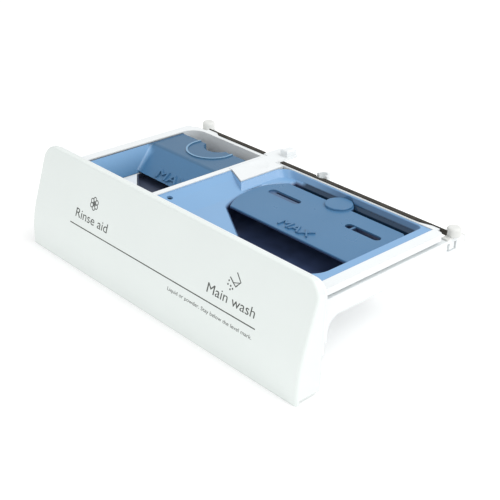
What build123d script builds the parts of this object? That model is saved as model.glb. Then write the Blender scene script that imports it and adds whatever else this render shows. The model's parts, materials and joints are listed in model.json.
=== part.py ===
"""Detergent dispenser drawer of a front loading washing machine, as an assembly.

Millimetres. +X is the drawer's right as its user faces it, +Y points into the machine, +Z is up.
The origin is the bottom centre of the bounding box: under the middle of the drawer, at the height of
the panel's bottom edge. Heights inside the tray are given from the rim (RIM_Z) and depths from the
outside of the tray's front wall (TRAY_Y), so that a drawing of the tray can be read off directly.
"""
import math
import os

from build123d import *

os.makedirs("parts", exist_ok=True)

# ---------------------------------------------------------------- driving dimensions
PANEL_WIDTH = 250.0
PANEL_BELOW_RIM = 56.0
PANEL_ABOVE_RIM = 12.0
PANEL_BULGE = 21.0          # foremost line of the panel, in front of the tray's front wall
TAIL_END = 131.5            # rearmost line of the guide tails, behind the tray's front wall
DRAWER_DEPTH = PANEL_BULGE + TAIL_END

RIM_Z = PANEL_BELOW_RIM
TRAY_Y = PANEL_BULGE - DRAWER_DEPTH / 2

PANEL_WALL = 2.6
PANEL_BACK = -3.0           # back plane of the panel's side returns
PANEL_CORNER = 10.0
PANEL_EDGE = 1.6            # rounding between the face and the panel's top and sides
FACE_BEND_Z = -48.0         # the face is upright below this height
FACE_BEND_RADIUS = 75.0
FACE_LEAN = 17.0            # degrees that the upper face leans back
RETURN_STEP = 2.5           # the side returns stop this far above the face's bottom edge

TUB_X = 107.6               # inner face of the tub's side walls
TUB_FLOOR = -20.5
TUB_BOTTOM = -22.5
TUB_FRONT = 2.2             # inner face of the tub's front wall
REAR_RIGHT = (107.2, 108.5) # inner and outer face of the rear wall, detergent side
REAR_LEFT = (107.5, 110.5)  # the same, softener side
DIVIDER = (-38.8, -36.6)
DIVIDER_CAP_END = -34.3     # the divider's top widens to the right as far as this
DIVIDER_CAP_BOTTOM = -4.4

RAIL_X = 115.0              # outside of the rim flange and of the skirt below it
FLANGE_BOTTOM = -4.5
GROOVE_BOTTOM = -6.9
GROOVE_ROOT = 111.0
SKIRT_BOTTOM = -19.2
SKIRT_WALL = 2.2
SKIRT_X_IN = RAIL_X - SKIRT_WALL
RIM_END = 108.0             # the rim flange stops here, the skirt runs on as the guide tail

GAP = 0.3                   # clearance between pieces that lift out or swing

CUP_WALL = 1.6
CUP_TOP = -0.4
CUP_SHELF = -4.6            # the cup's shelf sinks from the left rim to this height
CUP_FLOOR = -18.2
CUP_CORNER = 9.0            # rounding of the rim at the rear left
RIM_LEFT = -34.0
RIM_RIGHT = 107.2
RIM_FRONT = 3.0
RIM_REAR = 106.9
RIM_STEP_X = -16.0          # the rim steps in beside the release lever
RIM_STEP_Y = (75.9, 68.0)   # front end of the step, at its left and at its right
WELL_FRONT = 11.4
WELL_REAR = 104.2
WELL_RIGHT = 98.6
FUNNEL = 1.6                # width and depth of the bevel round the well's mouth
KEY_HOLE = (-28.5, 20.0)

PLATE_TOP = -4.0
PLATE_THICK = 1.8
PLATE_FRONT = 44.5
PLATE_REAR = 96.3
PLATE_RIGHT = 97.1
BOSS = (43.5, 96.2)         # siphon axis of the detergent side
BOSS_RADIUS = 8.9
POCKET_RADIUS = 9.8
SIPHON_POCKET_RADIUS = 8.0
SLOT_Y = 79.4
LEFT_SLOT_X = 12.6
RIGHT_SLOT_X = 78.0
SLOT_LENGTH = 26.5
SLOT_WIDTH = 5.8

SOFT_TOP = -1.0
SOFT_THICK = 1.6
SOFT_WALL_TOP = -0.6
SOFT_LEFT = -107.1
SOFT_RIGHT = -39.2
SOFT_FOLD = 68.0            # the flat top plate ends here and the slope begins
SOFT_SLOPE_END = (49.5, -15.0)
SOFT_FOLD_RADIUS = 5.0
SOFT_WALL_LEAN = 7.0        # the left side wall comes in by this much towards its foot
SOFT_CORNER_RADIUS = 3.0
SOFT_REAR = 95.4
SOFT_RING = (-70.8, 91.0)
SOFT_RING_RADIUS = 17.7
SOFT_NOTCH = (-71.5, 98.0)
SOFT_NOTCH_RADIUS = 10.2
SOFT_NOTCH_SKIRT = -6.0
SOFT_PIPE = (-58.0, 82.0)   # siphon axis of the softener side
LEDGE_TOP = -16.2
LEDGE_EDGE = -98.5
LEDGE_SLANT = ((-98.5, 47.5), (-74.0, 28.8))    # the ledge widens to the front along this line
LINER_TOP = -16.6
LINER_WALL = 0.9

SEAT_X = (-36.6, -16.4)     # outside of the release lever's seat
SEAT_FRONT = (76.5, 68.6)   # its front wall slants from the left corner to the right one
SEAT_CORNER_X = -33.5       # the slant begins here
SEAT_FLOOR = (-14.0, -12.4)
SEAT_WALL = 1.6
SEAT_DIP = -6.5             # top of the seat's right wall behind the pivot
LEVER_TOP = 0.2
LEVER_BOTTOM = -1.6
LEVER_GAP = 0.4
LEVER_ARM_X = (-36.1, -23.9)
LEVER_END = 127.5
PADDLE_LEFT = -40.0         # the arm widens behind the rear wall as far as this
HOOK_X = (-31.2, -24.9)
HOOK_LENGTH = 9.0
HOOK_TOP = 4.4
DISH = (-28.5, 96.0)
DISH_RADIUS = 40.0
DISH_DEPTH = 0.6
PIVOT_Y = 83.0
PIVOT_Z = -4.0
BARREL_RADIUS = 2.6
PIN_RADIUS = 1.2
PIN_PLAY = 0.06
SPRING_AT = (-28.3, 94.0)
SPRING_RADIUS = 3.2
SPRING_WIRE = 0.8
SPRING_TURNS = 5

SEAL_BOTTOM = -2.4
SEAL_TOP = 0.6
SEAL_DEPTH = 3.3
SEAL_THIN = 0.5             # depth of the strips where they run out at the corners
SEAL_RIGHT_X = (-21.4, 110.6)
SEAL_LEFT_X = (-98.7, -40.6)
SEAL_TAPER_RIGHT = (95.0, 104.0)
SEAL_TAPER_LEFT = (-90.0, -84.5)
SEAL_PAD_END = 114.6
SEAL_PAD_DEPTH = 1.4
EAR_AT = (12.5, 114.8)

SHOE_Y = (112.5, 127.0)
SHOE_X = 112.9
KNOB_Y = {1: 120.9, -1: 125.2}
KNOB_RADIUS = 4.5
SHOE_BASE = 1.0
KNOB_TOP = -0.5
TAIL_DROP = 1.6             # the tail's deck slopes down by this much behind the shoe
BUFFER_DEPTH = 1.7

APRON_BOTTOM = -34.0        # the tray's front apron hangs down behind the finger pull
APRON_WALL = 2.4
GUSSET_DEPTH = 11.5
GUSSET_RADIUS = 9.0
GRIP_PLATE = 3.0
GRIP_CEILING = -31.0
SCREW_Z = -26.5
TRAY_SCREW_X = (-95.0, -38.0, 38.0, 95.0)
PANEL_SCREW_X = (-72.0, 0.0, 72.0)
PANEL_SCREW_Z = -10.0
SCREW_RADIUS = 1.5
SCREW_HEAD = 3.0


# ---------------------------------------------------------------- reference planes and helpers
def plan(z):
    """Horizontal plane at a height from the rim; sketches on it are (x, y)."""
    return Plane(origin=(0, TRAY_Y, RIM_Z + z), x_dir=(1, 0, 0), z_dir=(0, 0, 1))


def profile(x):
    """Upright plane across X; sketches on it are (y, z) and extrude towards +X."""
    return Plane(origin=(x, TRAY_Y, RIM_Z), x_dir=(0, 1, 0), z_dir=(1, 0, 0))


def section(y):
    """Upright plane across Y; sketches on it are (x, z) and extrude towards the front."""
    return Plane(origin=(0, TRAY_Y + y, RIM_Z), x_dir=(1, 0, 0), z_dir=(0, -1, 0))


def block(x, y, z, mode=Mode.ADD):
    """Block between the limits x = (low, high), y and z, in tray coordinates."""
    centre = (sum(x) / 2, TRAY_Y + sum(y) / 2, RIM_Z + sum(z) / 2)
    with Locations(centre):
        Box(x[1] - x[0], y[1] - y[0], z[1] - z[0], mode=mode)


def post(centre, radius, z, mode=Mode.ADD):
    """Upright round post between the heights z = (low, high)."""
    with Locations((centre[0], TRAY_Y + centre[1], RIM_Z + sum(z) / 2)):
        Cylinder(radius, z[1] - z[0], mode=mode)


def rod(centre, radius, x, mode=Mode.ADD):
    """Round bar along X through centre = (y, z), between the limits x."""
    with Locations(Location((sum(x) / 2, TRAY_Y + centre[0], RIM_Z + centre[1]), (0, 90, 0))):
        Cylinder(radius, x[1] - x[0], mode=mode)


def spigot(centre, radius, y, mode=Mode.ADD):
    """Round bar along Y through centre = (x, z), between the limits y."""
    with Locations(Location((centre[0], TRAY_Y + sum(y) / 2, RIM_Z + centre[1]), (90, 0, 0))):
        Cylinder(radius, y[1] - y[0], mode=mode)


def mirrored(limits, side):
    """The pair of X limits on the right side, or mirrored to the left for side = -1."""
    return tuple(sorted(side * value for value in limits))


def save(builder, name):
    builder.part.label = name
    export_step(builder.part, f"parts/{name}.step")


# ---------------------------------------------------------------- front panel
def face_outline(inset, bottom):
    """Side profile of the panel's solid form: upright, then a bend, then a straight lean."""
    lean = math.radians(FACE_LEAN)
    radius = FACE_BEND_RADIUS - inset
    front = inset - PANEL_BULGE
    bend_end = (front + radius * (1 - math.cos(lean)), FACE_BEND_Z + radius * math.sin(lean))
    top = PANEL_ABOVE_RIM - inset
    top_front = bend_end[0] + (top - bend_end[1]) * math.tan(lean)
    back = PANEL_BACK + inset
    with BuildLine() as outline:
        Line((front, bottom), (front, FACE_BEND_Z))
        TangentArc((front, FACE_BEND_Z), bend_end, tangent=(0, 1))
        Polyline(bend_end, (top_front, top), (back, top), (back, bottom), (front, bottom))
    make_face(outline.edges())


def on_face_rim(edge):
    """Whether an edge of the solid form borders the face at its top, at a side or at a corner."""
    at = edge.center()
    behind_face = at.Y > TRAY_Y + PANEL_BACK - 0.5
    at_bottom = at.Z < 1.0
    across = abs((edge % 0.5).X) > 0.99 and at.Z < RIM_Z + PANEL_ABOVE_RIM - 0.5
    along = abs((edge % 0.5).Y) > 0.99
    return not (behind_face or at_bottom or across or along)


with BuildPart() as panel_hollow:
    with BuildSketch(profile(0)):
        face_outline(PANEL_WALL, -PANEL_BELOW_RIM - 1)
    extrude(amount=PANEL_WIDTH / 2 - PANEL_WALL, both=True)
    upper = panel_hollow.edges().filter_by(Axis.Y).group_by(Axis.Z)[-1]
    fillet(upper, PANEL_CORNER - PANEL_WALL)

with BuildPart() as front_panel:
    with BuildSketch(profile(0)):
        face_outline(0, -PANEL_BELOW_RIM)
    extrude(amount=PANEL_WIDTH / 2, both=True)
    upper = front_panel.edges().filter_by(Axis.Y).group_by(Axis.Z)[-1]
    fillet(upper, PANEL_CORNER)
    fillet(front_panel.edges().filter_by(on_face_rim), PANEL_EDGE)
    add(panel_hollow.part, mode=Mode.SUBTRACT)
    block((-PANEL_WIDTH, PANEL_WIDTH), (PANEL_WALL - PANEL_BULGE, 0),
          (-PANEL_BELOW_RIM - 1, RETURN_STEP - PANEL_BELOW_RIM), Mode.SUBTRACT)
    # Bosses that take the screws of the grip frame stand on the back of the face.
    for x in PANEL_SCREW_X:
        spigot((x, PANEL_SCREW_Z), SCREW_HEAD + 0.4, (-11.5, PANEL_BACK))
        spigot((x, PANEL_SCREW_Z), SCREW_RADIUS, (-9.5, PANEL_BACK), Mode.SUBTRACT)
save(front_panel, "front_panel")


# ---------------------------------------------------------------- grip frame behind the panel
with BuildPart() as grip_frame:
    with BuildSketch(section(0)):
        top = PANEL_ABOVE_RIM - 1.5
        with Locations((0, (top + APRON_BOTTOM) / 2)):
            Rectangle(PANEL_WIDTH - 3.0, top - APRON_BOTTOM)
        fillet(vertices().group_by(Axis.Y)[-1], PANEL_CORNER - 1.5)
    extrude(amount=GRIP_PLATE)
    # The finger pocket's ceiling and end cheeks close the hollow of the panel above the fingers.
    block((-112, 112), (-15.4, PANEL_BACK), (GRIP_CEILING, GRIP_CEILING + 2.0))
    for side in (-1, 1):
        block(mirrored((110, 112), side), (-15.4, PANEL_BACK), (APRON_BOTTOM - 12, GRIP_CEILING))
    ceiling_root = (grip_frame.edges().filter_by(Axis.X)
                    .filter_by_position(Axis.Y, TRAY_Y + PANEL_BACK - 0.1, TRAY_Y + PANEL_BACK + 0.1)
                    .filter_by_position(Axis.Z, RIM_Z + GRIP_CEILING - 0.1, RIM_Z + GRIP_CEILING + 0.1))
    fillet(ceiling_root, 2.5)
    for x in TRAY_SCREW_X:
        spigot((x, SCREW_Z), SCREW_HEAD, (-12.0, PANEL_BACK))
        spigot((x, SCREW_Z), SCREW_RADIUS, (-10.5, 0), Mode.SUBTRACT)
    for x in PANEL_SCREW_X:
        spigot((x, PANEL_SCREW_Z), SCREW_RADIUS, (PANEL_BACK, 0), Mode.SUBTRACT)
        spigot((x, PANEL_SCREW_Z), SCREW_HEAD, (-1.4, 0), Mode.SUBTRACT)
save(grip_frame, "grip_frame")


# ---------------------------------------------------------------- fasteners of the front
with BuildPart() as panel_screws:
    for x in PANEL_SCREW_X:
        spigot((x, PANEL_SCREW_Z), SCREW_RADIUS, (-9.3, -1.4))
        spigot((x, PANEL_SCREW_Z), SCREW_HEAD, (-1.4, -0.1))
save(panel_screws, "panel_screws")

with BuildPart() as tray_screws:
    for x in TRAY_SCREW_X:
        spigot((x, SCREW_Z), SCREW_RADIUS, (-10.3, APRON_WALL))
        spigot((x, SCREW_Z), SCREW_HEAD, (APRON_WALL, APRON_WALL + 1.6))
        with Locations(Location((x, TRAY_Y + APRON_WALL + 1.6, RIM_Z + SCREW_Z), (90, 0, 0))):
            Box(3.2, 0.7, 1.2, mode=Mode.SUBTRACT)
            Box(0.7, 3.2, 1.2, mode=Mode.SUBTRACT)
save(tray_screws, "tray_screws")


# ---------------------------------------------------------------- drawer body
def seat_outline(inset, rear):
    """Plan of the release lever's seat: its front wall slants back from right to left."""
    slant = math.atan2(SEAT_FRONT[0] - SEAT_FRONT[1], SEAT_X[1] - SEAT_CORNER_X)
    corner_y = SEAT_FRONT[0] + inset
    corner_x = SEAT_CORNER_X + inset * (1 - math.cos(slant)) / math.sin(slant)
    right = SEAT_X[1] - inset
    right_y = corner_y - (right - corner_x) * math.tan(slant)
    with BuildLine() as outline:
        Polyline((SEAT_X[0], corner_y), (corner_x, corner_y), (right, right_y), (right, rear),
                 (SEAT_X[0], rear), (SEAT_X[0], corner_y))
    make_face(outline.edges())


with BuildPart() as drawer_body:
    # Tub: floor, walls and the divider between softener (left) and detergent (right).
    block((-110, DIVIDER[1]), (0, REAR_LEFT[1]), (TUB_BOTTOM, TUB_FLOOR))
    block((DIVIDER[0], 110), (0, REAR_RIGHT[1]), (TUB_BOTTOM, TUB_FLOOR))
    block((-110, 110), (0, TUB_FRONT), (TUB_FLOOR, 0))
    block((-110, -TUB_X), (0, REAR_LEFT[1]), (TUB_FLOOR, 0))
    block((TUB_X, 110), (0, REAR_RIGHT[1]), (TUB_FLOOR, 0))
    block((-110, DIVIDER[1]), REAR_LEFT, (TUB_FLOOR, 0))
    block((DIVIDER[0], 110), REAR_RIGHT, (TUB_FLOOR, 0))
    block(DIVIDER, (TUB_FRONT, REAR_LEFT[0]), (TUB_FLOOR, 0))
    block((DIVIDER[0], DIVIDER_CAP_END), (TUB_FRONT, SEAT_FRONT[0] - LEVER_GAP), (DIVIDER_CAP_BOTTOM, 0))

    # The softener side's rear left corner is rounded inside.
    with BuildSketch(plan(TUB_FLOOR)):
        with BuildLine():
            Line((-TUB_X, REAR_LEFT[0] - 12), (-TUB_X, REAR_LEFT[0]))
            Line((-TUB_X, REAR_LEFT[0]), (-TUB_X + 12, REAR_LEFT[0]))
            RadiusArc((-TUB_X + 12, REAR_LEFT[0]), (-TUB_X, REAR_LEFT[0] - 12), -12)
        make_face()
    extrude(amount=-TUB_FLOOR)

    # Ledges that carry the lift-out cup and the lift-out softener insert.
    block((TUB_X - 3.0, TUB_X), (TUB_FRONT, REAR_RIGHT[0]), (-6.0, -2.3))
    block((DIVIDER_CAP_END, DIVIDER_CAP_END + 1.7), (TUB_FRONT, SEAT_FRONT[0] - 2),
          (DIVIDER_CAP_BOTTOM, -2.8))
    block((DIVIDER[0] - 2.2, DIVIDER[0]), (SOFT_FOLD + 2, SOFT_REAR), (-6.5, -2.9))
    with BuildSketch(plan(TUB_FLOOR)):
        with BuildLine():
            Polyline((-TUB_X, TUB_FRONT), (-TUB_X, REAR_LEFT[0]), (LEDGE_EDGE, REAR_LEFT[0]),
                     LEDGE_SLANT[0], LEDGE_SLANT[1], (LEDGE_SLANT[1][0], TUB_FRONT), (-TUB_X, TUB_FRONT))
        make_face()
    extrude(amount=LEDGE_TOP - TUB_FLOOR)

    # Softener siphon: a standpipe through the floor. The detergent pipe of the cup drains through
    # a plain hole.
    post(SOFT_PIPE, 4.0, (TUB_FLOOR, -7.0))
    post(SOFT_PIPE, 2.9, (TUB_BOTTOM - 1, 0), Mode.SUBTRACT)
    post(BOSS, 5.5, (TUB_BOTTOM - 1, TUB_FLOOR + 1), Mode.SUBTRACT)

    # Seat of the release lever behind the divider, with the slot for its arm in the rear wall.
    with BuildSketch(plan(SEAT_FLOOR[0])):
        seat_outline(0, REAR_RIGHT[0])
    extrude(amount=LEVER_BOTTOM - GAP - SEAT_FLOOR[0])
    with BuildSketch(plan(SEAT_FLOOR[1])):
        seat_outline(SEAT_WALL, REAR_RIGHT[0])
    extrude(amount=1 - SEAT_FLOOR[1], mode=Mode.SUBTRACT)
    block((SEAT_X[1] - SEAT_WALL - 1, SEAT_X[1]), (PIVOT_Y + 2, REAR_RIGHT[0]), (SEAT_DIP, 0), Mode.SUBTRACT)
    block((SEAT_X[0], LEVER_ARM_X[1] + 0.6), (REAR_RIGHT[0] - 1, REAR_LEFT[1] + 1), (-9.0, 1),
          Mode.SUBTRACT)
    rod((PIVOT_Y, PIVOT_Z), PIN_RADIUS, (DIVIDER[0] + 0.8, SEAT_X[1] - 0.4), Mode.SUBTRACT)

    # Shelves along the rear wall for the two sealing strips, webs that fill the corners where the
    # strips run out, and the pipe clip between them.
    block(SEAL_RIGHT_X, (REAR_RIGHT[1], REAR_RIGHT[1] + SEAL_DEPTH), (SEAL_BOTTOM - 2.4, SEAL_BOTTOM))
    block(SEAL_LEFT_X, (REAR_LEFT[1], REAR_LEFT[1] + SEAL_DEPTH), (SEAL_BOTTOM - 2.4, SEAL_BOTTOM))
    web = SEAL_DEPTH - SEAL_THIN - 0.25
    with BuildSketch(plan(SEAL_BOTTOM)):
        with BuildLine():
            Polyline((SEAL_TAPER_RIGHT[0] + 1, REAR_RIGHT[1]), (SEAL_TAPER_RIGHT[1], REAR_RIGHT[1] + web),
                     (110, REAR_RIGHT[1] + web), (110, REAR_RIGHT[1]),
                     (SEAL_TAPER_RIGHT[0] + 1, REAR_RIGHT[1]))
        make_face()
        with BuildLine():
            Polyline((SEAL_TAPER_LEFT[1] - 1, REAR_LEFT[1]), (SEAL_TAPER_LEFT[0], REAR_LEFT[1] + web),
                     (SEAL_LEFT_X[0], REAR_LEFT[1] + web), (SEAL_LEFT_X[0], REAR_LEFT[1]),
                     (SEAL_TAPER_LEFT[1] - 1, REAR_LEFT[1]))
        make_face()
    extrude(amount=-SEAL_BOTTOM)
    post(EAR_AT, 4.6, (SEAL_BOTTOM - 2.4, 1.6))
    post(EAR_AT, 2.8, (SEAL_BOTTOM - 3, 2), Mode.SUBTRACT)
    block((EAR_AT[0] - 5, EAR_AT[0] + 5), (108.6, EAR_AT[1] - 1.6), (SEAL_BOTTOM, 2), Mode.SUBTRACT)

    # Front apron behind the finger pull.
    block((-SKIRT_X_IN, SKIRT_X_IN), (0, APRON_WALL), (APRON_BOTTOM, TUB_BOTTOM))
    tail_end = TAIL_END - BUFFER_DEPTH
    for side in (-1, 1):
        # Rim flange, the groove that runs on the housing's rail, and the skirt.
        block(mirrored((110, RAIL_X), side), (0, RIM_END), (FLANGE_BOTTOM, 0))
        block(mirrored((110, GROOVE_ROOT), side), (0, RIM_END), (GROOVE_BOTTOM, FLANGE_BOTTOM))
        block(mirrored((110, RAIL_X), side), (0, tail_end), (GROOVE_BOTTOM - 2.1, GROOVE_BOTTOM))
        block(mirrored((SKIRT_X_IN, RAIL_X), side), (0, tail_end), (SKIRT_BOTTOM, GROOVE_BOTTOM - 2.1))
        block(mirrored((110, SKIRT_X_IN), side), (tail_end - 2, tail_end),
              (SKIRT_BOTTOM, GROOVE_BOTTOM - 2.1))
        with BuildSketch(profile(side * RAIL_X)):
            with BuildLine():
                Polyline((SHOE_Y[1], GROOVE_BOTTOM), (tail_end, GROOVE_BOTTOM),
                         (tail_end, GROOVE_BOTTOM - TAIL_DROP), (SHOE_Y[1], GROOVE_BOTTOM))
            make_face()
        extrude(amount=-side * 6, mode=Mode.SUBTRACT)
        # Slot for the guide shoe's leg, and the U-shaped slit that frees its snap tongue.
        block(mirrored((110.4, 112.6), side), (116, 123), (-10, GROOVE_BOTTOM + 1), Mode.SUBTRACT)
        for y in (SHOE_Y[0] + 0.5, SHOE_Y[0] + 7.1):
            block(mirrored((SKIRT_X_IN - 1, RAIL_X + 1), side), (y, y + 2.2), (-13.4, -9.0), Mode.SUBTRACT)
        block(mirrored((SKIRT_X_IN - 1, RAIL_X + 1), side), (SHOE_Y[0] + 0.5, SHOE_Y[0] + 9.3),
              (-14.4, -13.4), Mode.SUBTRACT)
        # Gusset between the skirt and the apron.
        with BuildSketch(profile(side * RAIL_X)):
            with BuildLine():
                foot = GUSSET_RADIUS + SKIRT_BOTTOM * -1
                Polyline((0, SKIRT_BOTTOM), (0, APRON_BOTTOM), (GUSSET_DEPTH, APRON_BOTTOM),
                         (GUSSET_DEPTH, -foot))
                RadiusArc((GUSSET_DEPTH, -foot), (GUSSET_DEPTH + GUSSET_RADIUS, SKIRT_BOTTOM),
                          GUSSET_RADIUS)
                Line((GUSSET_DEPTH + GUSSET_RADIUS, SKIRT_BOTTOM), (0, SKIRT_BOTTOM))
            make_face()
        extrude(amount=-side * SKIRT_WALL)
    for x in TRAY_SCREW_X:
        spigot((x, SCREW_Z), SCREW_RADIUS, (-1, APRON_WALL), Mode.SUBTRACT)
    rim_end = (drawer_body.edges().filter_by(Axis.Z)
               .filter_by_position(Axis.Y, TRAY_Y + RIM_END - 0.1, TRAY_Y + RIM_END + 0.1)
               .filter_by_position(Axis.Z, RIM_Z + FLANGE_BOTTOM, RIM_Z))
    fillet(rim_end.group_by(Axis.X)[0] + rim_end.group_by(Axis.X)[-1], 3.0)
save(drawer_body, "drawer_body")


# ---------------------------------------------------------------- liner of the softener well
def liner_outline(inset):
    """Plan of the liner, which fills the softener well beside the ledge."""
    with BuildLine() as outline:
        Polyline((LEDGE_EDGE, 106.7), (DIVIDER[0], 106.7), (DIVIDER[0], TUB_FRONT),
                 (LEDGE_SLANT[1][0], TUB_FRONT), LEDGE_SLANT[1], LEDGE_SLANT[0], (LEDGE_EDGE, 106.7))
    make_face(outline.edges())
    offset(amount=-inset)


with BuildPart() as softener_well_liner:
    with BuildSketch(plan(TUB_FLOOR)):
        liner_outline(GAP)
    extrude(amount=LINER_TOP - TUB_FLOOR)
    with BuildSketch(plan(TUB_FLOOR + LINER_WALL)):
        liner_outline(GAP + LINER_WALL)
    extrude(amount=LINER_TOP - TUB_FLOOR, mode=Mode.SUBTRACT)
    post(SOFT_PIPE, 4.0 + GAP, (TUB_FLOOR - 1, LINER_TOP + 1), Mode.SUBTRACT)
save(softener_well_liner, "softener_well_liner")


# ---------------------------------------------------------------- detergent cup
def rim_outline():
    """Plan of the cup's rim: it steps in beside the release lever along a slanted edge."""
    with BuildLine() as outline:
        Polyline((RIM_LEFT, RIM_FRONT), (RIM_RIGHT, RIM_FRONT), (RIM_RIGHT, RIM_REAR),
                 (RIM_STEP_X, RIM_REAR), (RIM_STEP_X, RIM_STEP_Y[1]), (RIM_LEFT, RIM_STEP_Y[0]),
                 (RIM_LEFT, RIM_FRONT))
    make_face(outline.edges())
    fillet(vertices().sort_by_distance((RIM_STEP_X, RIM_REAR))[0], CUP_CORNER)


def basin_outline(sink, grow):
    """Plan of the shallow upper basin, sink = 0 at the rim and 1 at the shelf, grown outwards."""
    left = RIM_LEFT + 0.8 + 0.4 * sink - grow
    front = 9.0 + 2.0 * sink - grow
    right = 101.5 - 2.7 * sink + grow
    rear = RIM_REAR - 0.8 - 1.7 * sink + grow
    step_x = RIM_STEP_X + 0.8 + 4.0 * sink - grow
    step_left = RIM_STEP_Y[0] - 0.4 - 1.8 * sink + 1.56 * grow
    step_right = RIM_STEP_Y[1] - 0.4 - 3.6 * sink + 1.56 * grow
    with BuildLine() as outline:
        Polyline((left, front), (right, front), (right, rear), (step_x, rear), (step_x, step_right),
                 (left, step_left), (left, front))
    make_face(outline.edges())
    fillet(vertices().sort_by_distance((right, front))[0], 16.0 + grow)
    fillet(vertices().sort_by_distance((left, front))[0], 7.0 + grow)
    fillet(vertices().sort_by_distance((step_x, rear))[0], CUP_CORNER - 0.8 + grow)
    fillet(vertices().sort_by_distance((right, rear))[0], 4.0 + grow)


def well_outline():
    """Plan of the deep well's mouth: bowed on the left, cut off on a slant at the front left."""
    with BuildLine() as outline:
        ThreePointArc((-3.0, 42.3), (-9.2, 58.8), (-11.0, 76.2))
        ThreePointArc((-11.0, 76.2), (-9.2, 86.8), (-3.0, 97.0))
        Polyline((-3.0, 97.0), (-1.5, 98.6), (-1.5, WELL_REAR), (WELL_RIGHT, WELL_REAR),
                 (WELL_RIGHT, WELL_FRONT), (47.0, WELL_FRONT), (-3.0, 42.3))
    make_face(outline.edges())
    fillet(vertices().sort_by_distance((WELL_RIGHT, WELL_FRONT))[0], 14.0)
    fillet(vertices().sort_by_distance((WELL_RIGHT, WELL_REAR))[0], 4.0)
    fillet(vertices().sort_by_distance((47.0, WELL_FRONT))[0], 7.0)
    fillet(vertices().sort_by_distance((-3.0, 42.3))[0], 6.0)


def shelf_line(drop):
    """Cross-section line of the shelf, from the left rim down to its level part."""
    return [(RIM_LEFT - 1, CUP_TOP - 0.05 - drop), (-31.5, -0.8 - drop), (-25.5, -2.2 - drop),
            (-9.0, CUP_SHELF - drop), (110.0, CUP_SHELF - drop)]


with BuildPart() as basin_hollow:
    with BuildSketch(plan(CUP_TOP + 0.01)):
        basin_outline(0, 0)
    with BuildSketch(plan(CUP_SHELF - 0.2)):
        basin_outline(1, 0)
    loft(ruled=True)
    with BuildSketch(section(0)):
        with BuildLine():
            Polyline(*shelf_line(0), (110, 1), (RIM_LEFT - 1, 1), shelf_line(0)[0])
        make_face()
        fillet(vertices().sort_by_distance((-31.5, -0.8))[0], 4.0)
        fillet(vertices().sort_by_distance((-25.5, -2.2))[0], 8.0)
        fillet(vertices().sort_by_distance((-9.0, CUP_SHELF))[0], 10.0)
    extrude(amount=-120, mode=Mode.INTERSECT)

with BuildPart() as well_hollow:
    with BuildSketch(plan(CUP_SHELF + 0.2)):
        well_outline()
    extrude(amount=-FUNNEL - 0.2, taper=45)
    mouth = well_hollow.faces().sort_by(Axis.Z)[0]
    extrude(mouth, amount=CUP_SHELF - FUNNEL - CUP_FLOOR)
    fillet(well_hollow.faces().sort_by(Axis.Z)[0].outer_wire().edges(), 3.0)

with BuildPart() as detergent_cup:
    with BuildSketch(plan(CUP_TOP)):
        basin_outline(0, 1.5)
    with BuildSketch(plan(CUP_SHELF - CUP_WALL)):
        basin_outline(1, 1.5)
    loft(ruled=True)
    with BuildSketch(section(0)):
        with BuildLine():
            Polyline(*shelf_line(CUP_WALL), (110, CUP_TOP), (RIM_LEFT - 1, CUP_TOP), shelf_line(CUP_WALL)[0])
        make_face()
    extrude(amount=-120, mode=Mode.INTERSECT)
    with BuildSketch(plan(CUP_TOP)):
        rim_outline()
    extrude(amount=-CUP_WALL)
    with BuildSketch(plan(CUP_TOP)):
        rim_outline()
    extrude(amount=-10, mode=Mode.INTERSECT)
    # Outside of the deep well, and of the pockets that leave room for the siphon cap and its boss.
    with BuildSketch(plan(CUP_FLOOR - CUP_WALL)):
        well_outline()
        offset(amount=CUP_WALL - FUNNEL + 0.2)
    extrude(amount=CUP_SHELF - CUP_FLOOR)
    with BuildSketch(plan(CUP_SHELF - FUNNEL - CUP_WALL)):
        well_outline()
        offset(amount=CUP_WALL)
    extrude(amount=FUNNEL + CUP_WALL - 0.5)
    post(BOSS, POCKET_RADIUS + 0.9, (PLATE_TOP - 4.2, CUP_TOP))
    post(BOSS, SIPHON_POCKET_RADIUS + 1.4, (CUP_FLOOR - CUP_WALL, CUP_TOP - 1))
    add(basin_hollow.part, mode=Mode.SUBTRACT)
    add(well_hollow.part, mode=Mode.SUBTRACT)
    post(BOSS, POCKET_RADIUS, (PLATE_TOP - PLATE_THICK - 0.6, 1), Mode.SUBTRACT)
    post(BOSS, SIPHON_POCKET_RADIUS, (CUP_FLOOR, 1), Mode.SUBTRACT)
    # Keyhole near the left rim, and the standpipe of the detergent siphon, open through the floor.
    post(KEY_HOLE, 1.9, (-6, 1), Mode.SUBTRACT)
    post(BOSS, 4.6, (CUP_FLOOR, -8.5))
    post(BOSS, 3.4, (TUB_BOTTOM, 0), Mode.SUBTRACT)
save(detergent_cup, "detergent_cup")


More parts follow.
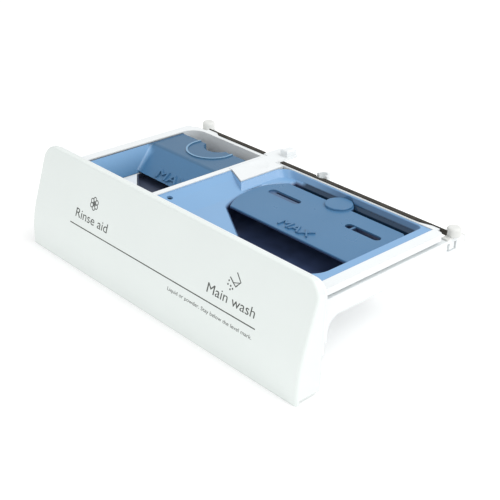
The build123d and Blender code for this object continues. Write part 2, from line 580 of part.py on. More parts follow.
# ---------------------------------------------------------------- detergent insert and its siphon cap
with BuildPart() as detergent_insert:
    with BuildSketch(plan(PLATE_TOP)):
        with BuildLine():
            Polyline((0.0, PLATE_FRONT), (PLATE_RIGHT, PLATE_FRONT), (PLATE_RIGHT, PLATE_REAR),
                     (3.5, PLATE_REAR))
            Line((3.5, PLATE_REAR), (0.0, 95.4))
            ThreePointArc((0.0, 95.4), (-7.3, 85.6), (-9.1, 75.0))
            ThreePointArc((-9.1, 75.0), (-7.2, 58.9), (0.0, PLATE_FRONT))
        make_face()
        fillet(vertices().sort_by_distance((PLATE_RIGHT, PLATE_FRONT))[0], 2.0)
        fillet(vertices().sort_by_distance((PLATE_RIGHT, PLATE_REAR))[0], 3.0)
        with Locations(BOSS):
            Circle(BOSS_RADIUS + 0.5)
        with Locations((RIGHT_SLOT_X, SLOT_Y)):
            SlotOverall(SLOT_LENGTH, SLOT_WIDTH, mode=Mode.SUBTRACT)
    extrude(amount=-PLATE_THICK)
    fillet(detergent_insert.faces().sort_by(Axis.Z)[-1].outer_wire().edges(), 0.6)
    post(BOSS, BOSS_RADIUS, (PLATE_TOP - 0.5, PLATE_TOP + 1.4))
    boss_edge = detergent_insert.edges().filter_by(GeomType.CIRCLE).group_by(Axis.Z)[-1]
    fillet(boss_edge, 0.5)
    # A web splits the right slot. The left slot is a shallow trough with a slit along its rear edge.
    block((69.0, 70.5), (SLOT_Y - SLOT_WIDTH / 2 - 0.2, SLOT_Y + SLOT_WIDTH / 2 + 0.2),
          (PLATE_TOP - PLATE_THICK, PLATE_TOP - 0.6))
    with BuildSketch(plan(PLATE_TOP)):
        with Locations((LEFT_SLOT_X, SLOT_Y)):
            SlotOverall(SLOT_LENGTH, SLOT_WIDTH + 0.6)
    extrude(amount=-1.0, mode=Mode.SUBTRACT)
    with BuildSketch(plan(PLATE_TOP)):
        with Locations((LEFT_SLOT_X + 1.0, SLOT_Y + SLOT_WIDTH / 2 - 0.9)):
            SlotOverall(SLOT_LENGTH - 5, 1.8)
    extrude(amount=-PLATE_THICK, mode=Mode.SUBTRACT)
    # Four legs stand on the cup's floor.
    for x in (6.0, 84.0):
        for y in (68.0, 88.0):
            block((x, x + 3), (y, y + 2), (CUP_FLOOR + GAP, PLATE_TOP - PLATE_THICK))
save(detergent_insert, "detergent_insert")

with BuildPart() as detergent_siphon_cap:
    under = PLATE_TOP - PLATE_THICK
    post(BOSS, 7.4, (CUP_FLOOR + 1.5, under))
    post(BOSS, 6.0, (CUP_FLOOR + 1, under - 1.4), Mode.SUBTRACT)
save(detergent_siphon_cap, "detergent_siphon_cap")


# ---------------------------------------------------------------- softener insert and its siphon cap
def behind_softener_edge():
    """Everything behind the softener insert's rear edge, cut away from the pieces added to it."""
    block((SOFT_LEFT, SOFT_RIGHT), (SOFT_REAR, SOFT_REAR + 30), (TUB_FLOOR, 2), Mode.SUBTRACT)


def soft_wall_x(z):
    """Where the outside of the left side wall is at a height."""
    return SOFT_LEFT + SOFT_WALL_LEAN * (SOFT_WALL_TOP - z) / (SOFT_WALL_TOP - LEDGE_TOP - GAP)


def soft_corner():
    """Rounded filling of the inner corner between the left side wall and the slope."""
    foot_x = soft_wall_x(SOFT_SLOPE_END[1]) + SOFT_THICK
    head_x = soft_wall_x(SOFT_TOP) + SOFT_THICK
    foot = Vector(foot_x, TRAY_Y + SOFT_SLOPE_END[0], RIM_Z + SOFT_SLOPE_END[1])
    head = Vector(head_x, TRAY_Y + SOFT_FOLD, RIM_Z + SOFT_TOP)
    along = (head - foot).normalized()
    on_wall = (Vector(0, -1, 0) + along * along.Y).normalized()
    on_slope = (Vector(1, 0, 0) - along * along.X).normalized()
    half = on_wall.get_angle(on_slope) / 2
    reach = SOFT_CORNER_RADIUS / math.tan(math.radians(half))
    bulge = SOFT_CORNER_RADIUS / math.sin(math.radians(half)) - SOFT_CORNER_RADIUS
    across = Plane(origin=foot, x_dir=on_slope, z_dir=along)
    middle = (on_wall + on_slope).normalized()
    wall_end = across.to_local_coords(foot + on_wall * reach)
    arc_top = across.to_local_coords(foot + middle * bulge)
    root = across.to_local_coords(foot - middle)
    with BuildPart(mode=Mode.PRIVATE) as filling:
        with BuildSketch(across):
            with BuildLine():
                ThreePointArc((reach, 0), (arc_top.X, arc_top.Y), (wall_end.X, wall_end.Y))
                Polyline((wall_end.X, wall_end.Y), (root.X, root.Y), (reach, 0))
            make_face()
        extrude(amount=40)
        block((SOFT_LEFT - 20, SOFT_RIGHT), (0, 120), (SOFT_TOP - 0.2, 40), Mode.SUBTRACT)
    add(filling.part)


with BuildPart() as softener_insert:
    slope = math.atan2(SOFT_TOP - SOFT_SLOPE_END[1], SOFT_FOLD - SOFT_SLOPE_END[0])
    inner_fold = (SOFT_FOLD + SOFT_THICK * math.tan(slope / 2), SOFT_TOP - SOFT_THICK)
    with BuildSketch(profile(SOFT_LEFT + 1.0)):
        with BuildLine():
            Polyline((SOFT_REAR, SOFT_TOP), (SOFT_FOLD, SOFT_TOP), SOFT_SLOPE_END,
                     (SOFT_SLOPE_END[0] + SOFT_THICK * math.sin(slope),
                      SOFT_SLOPE_END[1] - SOFT_THICK * math.cos(slope) * 0.4),
                     inner_fold, (SOFT_REAR, SOFT_TOP - SOFT_THICK), (SOFT_REAR, SOFT_TOP))
        make_face()
        fillet(vertices().sort_by_distance((SOFT_FOLD, SOFT_TOP))[0], SOFT_FOLD_RADIUS)
        fillet(vertices().sort_by_distance(inner_fold)[0], SOFT_FOLD_RADIUS - SOFT_THICK)
    extrude(amount=SOFT_RIGHT - SOFT_LEFT - 1.0)
    # The left side wall leans inwards towards the tub's floor and meets the slope in a soft corner.
    with BuildSketch(section(6.0)):
        with BuildLine():
            wall_foot = SOFT_LEFT + SOFT_WALL_LEAN
            Polyline((SOFT_LEFT, SOFT_WALL_TOP), (SOFT_LEFT + SOFT_THICK, SOFT_WALL_TOP),
                     (wall_foot + SOFT_THICK, LEDGE_TOP + GAP), (wall_foot, LEDGE_TOP + GAP),
                     (SOFT_LEFT, SOFT_WALL_TOP))
        make_face()
    extrude(amount=-(SOFT_REAR - 6.0))
    soft_corner()
    # A raised ring surrounds the siphon and is cut by the finger notch, which has a skirt below it.
    with BuildSketch(plan(SOFT_TOP - 0.2)):
        with Locations(SOFT_RING):
            Circle(SOFT_RING_RADIUS)
            Circle(SOFT_RING_RADIUS - 1.4, mode=Mode.SUBTRACT)
    extrude(amount=0.9)
    post(SOFT_NOTCH, SOFT_NOTCH_RADIUS + 1.5, (SOFT_NOTCH_SKIRT, SOFT_TOP))
    behind_softener_edge()
    post(SOFT_NOTCH, SOFT_NOTCH_RADIUS, (SOFT_NOTCH_SKIRT - 1, SOFT_TOP + 2), Mode.SUBTRACT)
save(softener_insert, "softener_insert")

with BuildPart() as softener_siphon_cap:
    under = SOFT_TOP - SOFT_THICK
    post(SOFT_PIPE, 6.4, (TUB_FLOOR + 2.5, under))
    post(SOFT_PIPE, 5.2, (TUB_FLOOR + 2, under - 1.4), Mode.SUBTRACT)
save(softener_siphon_cap, "softener_siphon_cap")


# ---------------------------------------------------------------- release lever, its pin and its spring
with BuildPart() as release_lever:
    lever_right = SEAT_X[1] - SEAT_WALL - LEVER_GAP
    with BuildSketch(plan(LEVER_BOTTOM)):
        seat_outline(0, REAR_RIGHT[0] - 0.6)
    extrude(amount=LEVER_TOP - LEVER_BOTTOM)
    block((SEAT_X[0] - 1, LEVER_ARM_X[0]), (70, REAR_RIGHT[0]), (LEVER_BOTTOM - 1, LEVER_TOP + 1),
          Mode.SUBTRACT)
    block(LEVER_ARM_X, (REAR_RIGHT[0] - 1, LEVER_END), (LEVER_BOTTOM, LEVER_TOP))
    block((PADDLE_LEFT, LEVER_ARM_X[1]), (REAR_LEFT[1] + 0.7, LEVER_END), (LEVER_BOTTOM, LEVER_TOP))
    block(HOOK_X, (LEVER_END - HOOK_LENGTH, LEVER_END), (LEVER_TOP, HOOK_TOP))
    fillet(release_lever.faces().sort_by(Axis.Z)[-1].outer_wire().edges(), 1.4)
    rod((PIVOT_Y, PIVOT_Z), BARREL_RADIUS, (LEVER_ARM_X[0], lever_right))
    rod((PIVOT_Y, PIVOT_Z), PIN_RADIUS + PIN_PLAY, (LEVER_ARM_X[0] - 1, lever_right + 1), Mode.SUBTRACT)
    # Shallow round dish for the fingertip.
    with Locations((DISH[0], TRAY_Y + DISH[1], RIM_Z + LEVER_TOP + DISH_RADIUS - DISH_DEPTH)):
        Sphere(DISH_RADIUS, mode=Mode.SUBTRACT)
save(release_lever, "release_lever")

with BuildPart() as lever_pin:
    rod((PIVOT_Y, PIVOT_Z), PIN_RADIUS, (DIVIDER[0] + 0.8, SEAT_X[1] - 0.4))
save(lever_pin, "lever_pin")

with BuildPart() as lever_spring:
    height = LEVER_BOTTOM - GAP - SEAT_FLOOR[1] - SPRING_WIRE
    base = (SPRING_AT[0], TRAY_Y + SPRING_AT[1], RIM_Z + SEAT_FLOOR[1] + SPRING_WIRE / 2)
    with BuildLine() as coil:
        Helix(pitch=height / SPRING_TURNS, height=height, radius=SPRING_RADIUS, center=base)
    with BuildSketch(Plane(origin=coil.line @ 0, z_dir=coil.line % 0)):
        Circle(SPRING_WIRE / 2)
    sweep(path=coil.line)
save(lever_spring, "lever_spring")


# ---------------------------------------------------------------- sealing strips
with BuildPart() as rear_seal_right:
    front = REAR_RIGHT[1] + 0.05
    rear = REAR_RIGHT[1] + SEAL_DEPTH
    with BuildSketch(plan(SEAL_BOTTOM)):
        with BuildLine():
            Polyline((SEAL_RIGHT_X[0], front), (SEAL_TAPER_RIGHT[0], front),
                     (SEAL_TAPER_RIGHT[1], rear - SEAL_THIN), (SEAL_RIGHT_X[1], rear - SEAL_THIN),
                     (SEAL_RIGHT_X[1], rear - SEAL_PAD_DEPTH), (SEAL_PAD_END, rear - SEAL_PAD_DEPTH),
                     (SEAL_PAD_END, rear),
                     (SEAL_RIGHT_X[0], rear), (SEAL_RIGHT_X[0], front))
        make_face()
    extrude(amount=SEAL_TOP - SEAL_BOTTOM)
    post(EAR_AT, 4.7, (SEAL_BOTTOM - 1, SEAL_TOP + 1), Mode.SUBTRACT)
save(rear_seal_right, "rear_seal_right")

with BuildPart() as rear_seal_left:
    front = REAR_LEFT[1] + 0.05
    rear = REAR_LEFT[1] + SEAL_DEPTH
    with BuildSketch(plan(SEAL_BOTTOM)):
        with BuildLine():
            Polyline((SEAL_LEFT_X[0], rear - SEAL_THIN), (SEAL_TAPER_LEFT[0], rear - SEAL_THIN),
                     (SEAL_TAPER_LEFT[1], front), (SEAL_LEFT_X[1], front), (SEAL_LEFT_X[1], rear),
                     (SEAL_LEFT_X[0], rear), (SEAL_LEFT_X[0], rear - SEAL_THIN))
        make_face()
    extrude(amount=SEAL_TOP - SEAL_BOTTOM)
save(rear_seal_left, "rear_seal_left")


# ---------------------------------------------------------------- guide shoes and buffers at the tails
def shoe(side):
    """A base on the tail's deck that slopes down to the rear, a round knob, and a leg through the deck."""
    deck_end = TAIL_END - BUFFER_DEPTH
    base = GROOVE_BOTTOM + SHOE_BASE
    with BuildSketch(profile(side * RAIL_X)) as flank:
        with BuildLine():
            Polyline((SHOE_Y[0], GROOVE_BOTTOM), (SHOE_Y[1], GROOVE_BOTTOM),
                     (deck_end, GROOVE_BOTTOM - TAIL_DROP),
                     (deck_end, base - TAIL_DROP), (SHOE_Y[1], base), (SHOE_Y[0], base),
                     (SHOE_Y[0], GROOVE_BOTTOM))
        make_face()
    extrude(flank.sketch, amount=-side * 4.6)
    post((side * SHOE_X, KNOB_Y[side]), KNOB_RADIUS, (base, KNOB_TOP))
    block(mirrored((110.6, 112.4), side), (116.2, 122.8), (-12.5, GROOVE_BOTTOM))


with BuildPart() as guide_shoe_right:
    shoe(1)
    fillet(guide_shoe_right.faces().sort_by(Axis.Z)[-1].outer_wire().edges(), 2.0)
save(guide_shoe_right, "guide_shoe_right")

with BuildPart() as guide_shoe_left:
    shoe(-1)
    fillet(guide_shoe_left.faces().sort_by(Axis.Z)[-1].outer_wire().edges(), 2.0)
save(guide_shoe_left, "guide_shoe_left")

with BuildPart() as stop_buffers:
    for side in (-1, 1):
        block(mirrored((110.4, 114.6), side), (TAIL_END - BUFFER_DEPTH, TAIL_END), (-13.0, -9.2))
save(stop_buffers, "stop_buffers")
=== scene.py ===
"""Looks of a washing machine's detergent drawer: finishes, printed marks, light and camera.

Everything is in metres in the CAD frame: +X is the user's right, +Y points into the machine, +Z is up.
Places on the drawer are given in millimetres in tray coordinates: x from the drawer's middle, y from
the outside of the tray's front wall, z from the tray's rim. at() turns them into the frame.
"""
import json
import math

import bmesh
import bpy
from mathutils import Matrix, Vector


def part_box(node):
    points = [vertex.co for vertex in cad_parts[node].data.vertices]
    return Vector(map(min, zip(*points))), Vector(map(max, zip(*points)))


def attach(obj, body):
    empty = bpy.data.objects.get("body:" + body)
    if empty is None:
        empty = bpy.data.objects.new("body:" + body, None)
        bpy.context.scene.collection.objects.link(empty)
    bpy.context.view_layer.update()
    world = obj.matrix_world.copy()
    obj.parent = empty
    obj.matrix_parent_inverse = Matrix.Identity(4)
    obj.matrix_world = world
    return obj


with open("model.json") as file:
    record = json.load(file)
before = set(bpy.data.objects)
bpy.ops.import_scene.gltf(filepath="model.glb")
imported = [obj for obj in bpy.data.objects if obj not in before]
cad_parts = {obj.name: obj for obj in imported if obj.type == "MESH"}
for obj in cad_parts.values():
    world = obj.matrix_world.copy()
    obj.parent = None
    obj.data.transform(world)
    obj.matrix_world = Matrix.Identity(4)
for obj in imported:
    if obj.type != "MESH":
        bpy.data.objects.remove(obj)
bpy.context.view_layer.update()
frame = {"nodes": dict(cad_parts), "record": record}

# ---------------------------------------------------------------- places on the drawer
MM = 0.001
CUP_BELOW_RIM = 0.4                         # the cup's top lies this far under the tray's rim

# From the frame.
PANEL_FRONT_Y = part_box("front_panel")[0].y
TRAY_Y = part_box("drawer_body")[0].y
RIM_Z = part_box("detergent_cup")[1].z + CUP_BELOW_RIM * MM

# The panel's face.
FACE_FRONT = (PANEL_FRONT_Y - TRAY_Y) / MM  # foremost line
FACE_BEND_Z = -48.0                         # the face is upright below this height
FACE_BEND_RADIUS = 75.0
FACE_LEAN = math.radians(17.0)              # how far the upper face leans back


def at(x, y, z):
    """A point in the frame, in metres, from millimetres in tray coordinates."""
    return Vector((x * MM, TRAY_Y + y * MM, RIM_Z + z * MM))


def on_face(x, z, lift):
    """A point on the curved front face at a height, raised off it by lift millimetres."""
    angle = math.asin(min(max((z - FACE_BEND_Z) / FACE_BEND_RADIUS, 0.0), math.sin(FACE_LEAN)))
    bend_end_z = FACE_BEND_Z + FACE_BEND_RADIUS * math.sin(FACE_LEAN)
    y = FACE_FRONT + FACE_BEND_RADIUS * (1 - math.cos(angle)) + max(z - bend_end_z, 0) * math.tan(FACE_LEAN)
    return at(x, y - lift * math.cos(angle), z + lift * math.sin(angle))


# ---------------------------------------------------------------- node helpers
class Nodes:
    """A material's node tree, built by short calls."""

    def __init__(self, material):
        self.tree = material.node_tree
        self.shader = self.tree.nodes["Principled BSDF"]
        self.place = self.add("ShaderNodeTexCoord").outputs["Object"]

    def add(self, kind, **values):
        node = self.tree.nodes.new(kind)
        for key, value in values.items():
            setattr(node, key, value)
        return node

    def join(self, out, into):
        self.tree.links.new(out, into)

    def noise(self, size, detail=2.0, stretch=None):
        """Smooth noise whose features are about size millimetres."""
        node = self.add("ShaderNodeTexNoise")
        node.inputs["Scale"].default_value = 1.0 / (size * MM)
        node.inputs["Detail"].default_value = detail
        if stretch:
            mapping = self.add("ShaderNodeMapping")
            mapping.inputs["Scale"].default_value = stretch
            self.join(self.place, mapping.inputs["Vector"])
            self.join(mapping.outputs["Vector"], node.inputs["Vector"])
        else:
            self.join(self.place, node.inputs["Vector"])
        return node.outputs["Fac"]

    def spread(self, out, low, high, start=0.3, end=0.7):
        """Maps start..end of a value to low..high."""
        node = self.add("ShaderNodeMapRange")
        node.inputs["From Min"].default_value = start
        node.inputs["From Max"].default_value = end
        node.inputs["To Min"].default_value = low
        node.inputs["To Max"].default_value = high
        self.join(out, node.inputs["Value"])
        return node.outputs["Result"]

    def mix(self, factor, first, second, blend="MIX"):
        """Mixes two colours, each a tuple or a socket."""
        node = self.add("ShaderNodeMix", data_type="RGBA", blend_type=blend)
        for value, socket in ((factor, node.inputs[0]), (first, node.inputs[6]), (second, node.inputs[7])):
            if isinstance(value, bpy.types.NodeSocket):
                self.join(value, socket)
            else:
                socket.default_value = value
        return node.outputs[2]

    def bump(self, height, strength, distance, under=None):
        """Bump of distance millimetres from a height."""
        node = self.add("ShaderNodeBump")
        node.inputs["Strength"].default_value = strength
        node.inputs["Distance"].default_value = distance * MM
        self.join(height, node.inputs["Height"])
        if under:
            self.join(under, node.inputs["Normal"])
        return node.outputs["Normal"]


def rgba(colour, scale=1.0):
    return tuple(min(value * scale, 1.0) for value in colour) + (1.0,)


def new_material(name, **constants):
    """A material with constants set on its shader's own sockets."""
    material = bpy.data.materials.new(name)
    material.use_nodes = True
    shader = material.node_tree.nodes["Principled BSDF"]
    for key, value in constants.items():
        shader.inputs[key.replace("_", " ")].default_value = value
    return material, Nodes(material)


def moulded(name, colour, roughness, grain=0.35, relief=0.012, clouding=0.02, painted_corner_shade=0.06, edge=0.35,
            **constants):
    """Injection-moulded plastic: faint clouding, softly rounded edges, a fine mould texture, and
    painted shade that darkens the corners, taken from ambient occlusion."""
    material, n = new_material(name, **constants)
    clouds = n.spread(n.noise(38.0, 3.0), 0.0, 1.0)
    clean = n.mix(clouds, rgba(colour, 1.0 - clouding), rgba(colour, 1.0 + clouding))
    # Painted shade: ambient occlusion darkens the colour in corners.
    corners = n.add("ShaderNodeAmbientOcclusion", samples=4)
    corners.inputs["Distance"].default_value = 4.0 * MM
    shade = n.spread(corners.outputs["AO"], painted_corner_shade, 0.0, 0.15, 0.75)
    n.join(n.mix(shade, clean, rgba(colour, 0.35)), n.shader.inputs["Base Color"])
    smears = n.noise(14.0, 4.0)
    n.join(n.spread(smears, roughness * 0.88, roughness * 1.14), n.shader.inputs["Roughness"])
    edges = n.add("ShaderNodeBevel", samples=4)
    edges.inputs["Radius"].default_value = edge * MM
    waviness = n.bump(n.noise(26.0, 1.0), 0.25, 0.05, edges.outputs["Normal"])
    texture = n.bump(n.noise(grain, 2.0), 0.5, relief, waviness)
    n.join(texture, n.shader.inputs["Normal"])
    return material


# ---------------------------------------------------------------- finishes
def panel_gloss():
    """High-gloss white plastic of the front panel: smooth, with the faint waviness of a large moulding."""
    return moulded("panel_gloss", (0.745, 0.795, 0.775), 0.16, grain=1.6, relief=0.003, clouding=0.008,
                   painted_corner_shade=0.03, Coat_Weight=0.35, Coat_Roughness=0.06)


def white_plastic():
    """Satin white plastic of the tray."""
    return moulded("white_plastic", (0.78, 0.81, 0.82), 0.34, painted_corner_shade=0.05)


# The navy of the painted shade deep in the wells.
WELL_SHADE_NAVY = (0.040, 0.060, 0.128)


def paint_depth_shade(material, low, high):
    """Paints shade into a finish: darkens it to navy from the height high down to low, given from the rim,
    with blotches of painted reflection in the navy.
    """
    n = Nodes(material)
    split = n.add("ShaderNodeSeparateXYZ")
    n.join(n.place, split.inputs[0])
    depth = n.spread(split.outputs["Z"], 1.0, 0.0, at(0, 0, low).z, at(0, 0, high).z)
    # Painted reflection: blotches that lighten the navy.
    painted_reflection = n.spread(n.noise(16.0, 2.0), 0.0, 1.0, 0.4, 0.7)
    lower = n.mix(painted_reflection, rgba(WELL_SHADE_NAVY, 1.05), rgba(WELL_SHADE_NAVY, 1.55))
    upper = n.shader.inputs["Base Color"].links[0].from_socket
    n.join(n.mix(depth, upper, lower), n.shader.inputs["Base Color"])
    return material


FAR = 1.0               # metres: a limit beyond every piece


def within(n, axis, low, high, soft):
    """1 where the place along an axis is between two limits, 0 outside, soft wide; all in metres."""
    split = n.add("ShaderNodeSeparateXYZ")
    n.join(n.place, split.inputs[0])
    rise = n.spread(split.outputs[axis], 0.0, 1.0, low - soft, low + soft)
    fall = n.spread(split.outputs[axis], 1.0, 0.0, high - soft, high + soft)
    return times(n, rise, fall)


def times(n, first, second):
    """The product of two values."""
    node = n.add("ShaderNodeMath", operation="MULTIPLY")
    n.join(first, node.inputs[0])
    n.join(second, node.inputs[1])
    return node.outputs[0]


def tint(n, where, colour):
    """Gives a finish another colour where a value is 1."""
    own = n.shader.inputs["Base Color"].links[0].from_socket
    n.join(n.mix(where, own, rgba(colour)), n.shader.inputs["Base Color"])


def insert_blue(name="insert_blue"):
    """Mid blue satin plastic of the two siphon inserts."""
    return moulded(name, (0.060, 0.175, 0.330), 0.30, grain=0.5, relief=0.010)


def insert_blue_painted_shade():
    """The detergent insert's plastic: blue on top, and painted shade darkens it to navy on its legs and
    siphon.
    """
    return paint_depth_shade(insert_blue("insert_blue_painted_shade"), -5.4, -4.4)


def softener_insert_blue():
    """The softener insert's plastic, with painted light and shade: painted shade darkens the top,
    painted light makes the leaning side wall paler, a painted highlight lightens the ring, and a
    painted shadow darkens the left edge.
    """
    material = insert_blue("softener_insert_blue")
    n = Nodes(material)
    painted_light_wall = times(n, within(n, "X", -FAR, at(-101.6, 0, 0).x, 3.0 * MM),
                      within(n, "Y", -FAR, at(0, 64, 0).y, 1.5 * MM))
    top = within(n, "Z", at(0, 0, -1.8).z, FAR, 0.3 * MM)
    ring = within(n, "Z", at(0, 0, -0.45).z, FAR, 0.05 * MM)
    painted_edge_shadow = within(n, "X", -FAR, at(-105.7, 0, 0).x, 0.1 * MM)
    # Painted shade on the top.
    tint(n, top, (0.041, 0.128, 0.240))
    # Painted light on the side wall that faces the key light.
    tint(n, painted_light_wall, (0.190, 0.370, 0.600))
    # Painted highlight on the ring.
    tint(n, ring, (0.170, 0.330, 0.500))
    # Painted shadow line along the left edge.
    tint(n, painted_edge_shadow, (0.020, 0.045, 0.085))
    return material


def cup_blue():
    """Light blue gloss plastic of the lift-out cup, with painted shade: darker on the rear wall and at
    the foot of the rear wall, and navy towards the floor.
    """
    material = moulded("cup_blue", (0.20, 0.38, 0.62), 0.20, grain=0.8, relief=0.005)
    n = Nodes(material)
    # Painted shade: the rear wall darker below the rim.
    painted_rear_shade = times(n, within(n, "Y", at(0, 104.3, 0).y, FAR, 0.4 * MM),
                 within(n, "X", at(24, 0, 0).x, FAR, 12 * MM))
    tint(n, times(n, painted_rear_shade, within(n, "Z", -FAR, at(0, 0, -0.9).z, 0.3 * MM)), (0.085, 0.185, 0.335))
    # Painted shade: navy towards the floor, with blotches of painted reflection.
    paint_depth_shade(material, -6.0, -4.65)
    # Painted shade: darkest at the foot of the rear wall, behind the insert.
    painted_foot_shade = times(n, within(n, "Y", at(0, 101.8, 0).y, FAR, 0.3 * MM),
                 within(n, "X", at(6, 0, 0).x, FAR, 2 * MM))
    tint(n, times(n, painted_foot_shade, within(n, "Z", -FAR, at(0, 0, -4.0).z, 0.4 * MM)), (0.012, 0.040, 0.085))
    return material


def navy_plastic():
    """Dark navy satin plastic of the softener well's liner: painted shade, a dark sheet standing in for
    the shade deep in the well.
    """
    return moulded("navy_plastic", (0.034, 0.044, 0.076), 0.45, grain=0.5, relief=0.010)


def grey_plastic():
    """Pale grey low-friction plastic of the guide shoes."""
    return moulded("grey_plastic", (0.70, 0.71, 0.69), 0.42, grain=0.4, relief=0.012)


def seal_rubber():
    """Dark brownish foam rubber of the sealing strips and buffers."""
    material, n = new_material("seal_rubber", Specular_IOR_Level=0.25)
    cells = n.noise(0.5, 4.0)
    blotches = n.spread(n.noise(6.0, 3.0), 0.0, 1.0)
    n.join(n.mix(blotches, rgba((0.030, 0.027, 0.022)), rgba((0.060, 0.054, 0.045))),
           n.shader.inputs["Base Color"])
    n.join(n.spread(cells, 0.75, 0.95), n.shader.inputs["Roughness"])
    n.join(n.bump(cells, 0.8, 0.12), n.shader.inputs["Normal"])
    return material


def zinc_steel():
    """Zinc-plated steel of the screws and the hinge pin."""
    material, n = new_material("zinc_steel", Metallic=1.0)
    n.join(n.mix(n.spread(n.noise(1.2, 4.0), 0.0, 1.0), rgba((0.50, 0.51, 0.53)), rgba((0.66, 0.66, 0.65))),
           n.shader.inputs["Base Color"])
    n.join(n.spread(n.noise(0.6, 3.0), 0.22, 0.42), n.shader.inputs["Roughness"])
    n.join(n.bump(n.noise(0.25, 3.0), 0.3, 0.01), n.shader.inputs["Normal"])
    return material


def spring_wire():
    """Bright drawn wire of the lever's spring."""
    material, n = new_material("spring_wire", Metallic=1.0)
    n.join(n.mix(n.spread(n.noise(1.0, 3.0), 0.0, 1.0), rgba((0.42, 0.42, 0.43)), rgba((0.60, 0.60, 0.60))),
           n.shader.inputs["Base Color"])
    n.join(n.spread(n.noise(0.4, 2.0), 0.18, 0.34), n.shader.inputs["Roughness"])
    return material


def ink():
    """Dark grey pad-printing ink."""
    material, n = new_material("ink", Specular_IOR_Level=0.3)
    speckle = n.spread(n.noise(0.8, 3.0), 0.0, 1.0)
    n.join(n.mix(speckle, rgba((0.060, 0.066, 0.060)), rgba((0.095, 0.103, 0.095))),
           n.shader.inputs["Base Color"])
    n.join(n.spread(n.noise(1.5, 2.0), 0.45, 0.6), n.shader.inputs["Roughness"])
    return material


FINISHES = {
    "panel_gloss": panel_gloss(),
    "white_plastic": white_plastic(),
    "blue_light": cup_blue(),
    "blue_plastic": insert_blue(),
    "grey_plastic": grey_plastic(),
    "navy_plastic": navy_plastic(),
    "seal_rubber": seal_rubber(),
    "screw_steel": zinc_steel(),
    "spring_steel": spring_wire(),
}
OWN_FINISHES = {
    "detergent_insert": insert_blue_painted_shade(),
    "detergent_siphon_cap": insert_blue_painted_shade(),
    "softener_insert": softener_insert_blue(),
}
INK = ink()


def dress_cad_nodes():
    """Gives every CAD node the finish of its material slot in the record."""
    for part in frame["record"]["subparts"]:
        node = frame["nodes"][part["node"]]
        for slot in node.material_slots:
            slot.material = OWN_FINISHES.get(part["node"], FINISHES[part["material_slot"]])


# ---------------------------------------------------------------- marks
CAP_HEIGHT = 0.73       # a capital letter's share of the type size
RING_SIDES = 14
PRINT_LIFT = 0.03       # millimetres that the ink stands off the face
PLATE_TOP = -4.0        # the detergent insert's upper side


def letter_mesh(text, left, right, base, height, weight=0.0):
    """A mesh of flat lettering between left and right on a baseline, in millimetres."""
    curve = bpy.data.curves.new("lettering", "FONT")
    curve.body = text
    curve.offset = weight
    curve.resolution_u = 6
    holder = bpy.data.objects.new("lettering", curve)
    bpy.context.scene.collection.objects.link(holder)
    mesh = bpy.data.meshes.new_from_object(holder)
    bpy.data.objects.remove(holder)
    low = min(v.co.x for v in mesh.vertices)
    high = max(v.co.x for v in mesh.vertices)
    for v in mesh.vertices:
        v.co.x = left + (v.co.x - low) * (right - left) / (high - low)
        v.co.y = base + v.co.y * height / CAP_HEIGHT
    return mesh


def stroke(points, width, closed=False):
    """A flat ribbon along points (u, v): quads given as corner lists."""
    points = [Vector(p) for p in points]
    count = len(points)
    sides = []
    for i, point in enumerate(points):
        before = points[i - 1] if closed or i else points[i]
        after = points[(i + 1) % count] if closed or i < count - 1 else points[i]
        along = (after - before).normalized()
        across = Vector((-along.y, along.x)) * width / 2
        sides.append((point - across, point + across))
    last = count if closed else count - 1
    return [(*sides[i], *reversed(sides[(i + 1) % count])) for i in range(last)]


def circle(centre, radius, width):
    """A flat ring of a line width."""
    angles = [math.tau * k / RING_SIDES for k in range(RING_SIDES)]
    return stroke([centre + Vector((math.cos(a), math.sin(a))) * radius for a in angles], width, closed=True)


def flat_mesh(quads):
    """A mesh of separate flat polygons, each a list of corners (u, v)."""
    mesh = bpy.data.meshes.new("marks")
    corners = [(p[0], p[1], 0) for quad in quads for p in quad]
    faces, start = [], 0
    for quad in quads:
        faces.append(range(start, start + len(quad)))
        start += len(quad)
    mesh.from_pydata(corners, [], faces)
    return mesh


def raise_marks(name, mesh, place, thick, body, material):
    """Turns flat marks (u, v) into solid ones, sunk by a third of their thickness into the surface.

    place(u, v, lift) gives a point in the frame.
    """
    work = bmesh.new()
    work.from_mesh(mesh)
    bmesh.ops.remove_doubles(work, verts=work.verts, dist=1e-4)
    grown = bmesh.ops.extrude_face_region(work, geom=work.faces[:])
    top = {v for v in grown["geom"] if isinstance(v, bmesh.types.BMVert)}
    for v in work.verts:
        v.co = place(v.co.x, v.co.y, thick if v in top else -thick / 3)
    bmesh.ops.recalc_face_normals(work, faces=work.faces)
    work.to_mesh(mesh)
    work.free()
    mesh.materials.clear()
    mesh.materials.append(material)
    piece = bpy.data.objects.new(name, mesh)
    bpy.context.scene.collection.objects.link(piece)
    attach(piece, body)
    return piece


def print_on_panel(name, mesh):
    return raise_marks(name, mesh, on_face, PRINT_LIFT, "drawer", INK)


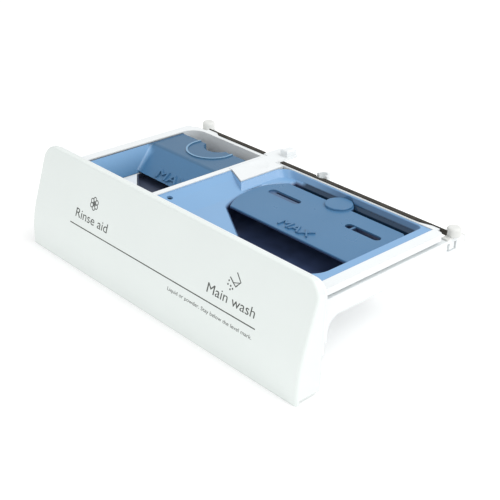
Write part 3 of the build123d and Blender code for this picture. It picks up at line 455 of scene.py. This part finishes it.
def printed_marks():
    """Ink on the front face: a rule, a word and a pictogram for each compartment, and a small line."""
    print_on_panel("printed_rule", flat_mesh(stroke([(-83.5, -26.2), (89.3, -26.2)], 0.65)))
    print_on_panel("printed_left_word", letter_mesh("Rinse aid", -79.6, -46.2, -21.3, 5.9))
    print_on_panel("printed_right_word", letter_mesh("Main wash", 48.0, 86.8, -21.3, 5.7))
    print_on_panel("printed_small_line",
                   letter_mesh("Liquid or powder. Stay below the level mark.", 17.0, 88.4, -32.6, 2.3))

    blossom = []
    centre = Vector((-63.3, -8.4))
    for i in range(6):
        turn = math.radians(60 * i + 90)
        blossom += circle(centre + Vector((math.cos(turn), math.sin(turn))) * 2.65, 1.35, 0.6)
    blossom += circle(centre, 0.6, 0.9)
    print_on_panel("printed_blossom", flat_mesh(blossom))

    # A tilted measuring cup that pours out a few grains.
    measure = stroke([(67.4, -3.2), (71.6, -7.4), (68.6, -10.8), (66.6, -9.6), (65.2, -8.6),
                      (63.0, -7.2)], 0.75)
    measure += stroke([(66.3, -9.3), (68.6, -8.6), (71.0, -7.8)], 0.45)
    for grain in ((62.8, -9.3), (62.6, -11.4), (64.9, -11.6), (65.0, -13.5), (66.7, -12.6)):
        measure += circle(Vector(grain), 0.28, 0.55)
    print_on_panel("printed_measure", flat_mesh(measure))


# ---------------------------------------------------------------- level marks on the inserts
def on_plate(x, y, lift):
    """A point on the detergent insert, raised off it by lift millimetres."""
    return at(x, y, PLATE_TOP + lift)


SLOPE_FOOT = Vector((49.5, -15.0))      # (y, z) of the softener slope's lower edge
SLOPE_TOP = Vector((68.0, -1.0))


def on_slope(x, v, lift):
    """A point on the softener insert's slope, v millimetres up from its foot."""
    along = (SLOPE_TOP - SLOPE_FOOT).normalized()
    point = SLOPE_FOOT + along * v + Vector((-along.y, along.x)) * lift
    return at(x, point.x, point.y)


def level_marks():
    """Raised MAX level marks, in the inserts' own plastic."""
    blue = FINISHES["blue_plastic"]
    raise_marks("detergent_level_mark", letter_mesh("MAX", 37.4, 62.0, 48.6, 8.0), on_plate, 1.0,
                "detergent_lid", blue)
    raise_marks("softener_level_mark", letter_mesh("MAX", -82.0, -51.0, 1.6, 7.4), on_slope, 1.2,
                "softener_lid", blue)


# ---------------------------------------------------------------- camera, light and floor
CAMERA_PLACE = (419.9, -338.5, 262.1)       # tray coordinates
CAMERA_TURN = (46.32, 27.58, 1.46)          # azimuth, elevation and roll in degrees
CAMERA_LENS = 73.2
SENSOR_WIDTH = 36.0

DRAWER_MIDDLE = (0, 0, 0.03)                # metres in the frame, as are the lights' places
SURROUND_STRENGTH = 0.75
FLOOR_REACH = 3.0
FLOOR_GLOW = 0.16                           # keeps the shadow under the drawer pale


def make_camera():
    """The camera stands to the right of the drawer's front and looks down on it."""
    azimuth, elevation, roll = (math.radians(a) for a in CAMERA_TURN)
    back = Vector((math.sin(azimuth) * math.cos(elevation), -math.cos(azimuth) * math.cos(elevation),
                   math.sin(elevation)))
    right = Vector((math.cos(azimuth), math.sin(azimuth), 0))
    up = back.cross(right)
    turned_right = right * math.cos(roll) + up * math.sin(roll)
    turned_up = up * math.cos(roll) - right * math.sin(roll)
    data = bpy.data.cameras.new("camera")
    data.sensor_width = SENSOR_WIDTH
    data.lens = CAMERA_LENS
    camera = bpy.data.objects.new("camera", data)
    rotation = Matrix((turned_right, turned_up, back)).transposed()
    camera.matrix_world = Matrix.Translation(at(*CAMERA_PLACE)) @ rotation.to_4x4()
    bpy.context.scene.collection.objects.link(camera)
    bpy.context.scene.camera = camera


def soft_light(name, place, size, power):
    """A square studio light at a place, facing the drawer."""
    data = bpy.data.lights.new(name, "AREA")
    data.size = size
    data.energy = power
    light = bpy.data.objects.new(name, data)
    light.location = place
    light.rotation_mode = "QUATERNION"
    light.rotation_quaternion = (Vector(DRAWER_MIDDLE) - Vector(place)).to_track_quat("-Z", "Y")
    bpy.context.scene.collection.objects.link(light)


def make_studio():
    """A white surround, a large key light from the right and above, a glint, a fill and a pale floor."""
    scene = bpy.context.scene
    world = bpy.data.worlds.new("surround")
    world.use_nodes = True
    world.node_tree.nodes["Background"].inputs["Color"].default_value = (1, 1, 1, 1)
    world.node_tree.nodes["Background"].inputs["Strength"].default_value = SURROUND_STRENGTH
    scene.world = world
    scene.view_settings.view_transform = "Standard"
    soft_light("key", (0.70, 0.50, 1.25), size=1.2, power=11.5)
    soft_light("glint", (1.0, 0.5, 1.1), size=0.4, power=1.6)
    soft_light("fill", (0.2, -1.2, 0.8), size=1.0, power=3.0)

    floor_mesh = bpy.data.meshes.new("floor")
    corners = [(FLOOR_REACH * x, FLOOR_REACH * y, 0) for x, y in ((-1, -1), (1, -1), (1, 1), (-1, 1))]
    floor_mesh.from_pydata(corners, [], [(0, 1, 2, 3)])
    floor = bpy.data.objects.new("floor", floor_mesh)
    material, n = new_material("floor", Roughness=0.8, Emission_Color=(1, 1, 1, 1),
                               Emission_Strength=FLOOR_GLOW)
    n.join(n.mix(n.spread(n.noise(60.0, 3.0), 0.0, 1.0), rgba((0.93, 0.93, 0.93)), rgba((0.95, 0.95, 0.95))),
           n.shader.inputs["Base Color"])
    floor_mesh.materials.append(material)
    scene.collection.objects.link(floor)


make_camera()
make_studio()
dress_cad_nodes()
printed_marks()
level_marks()
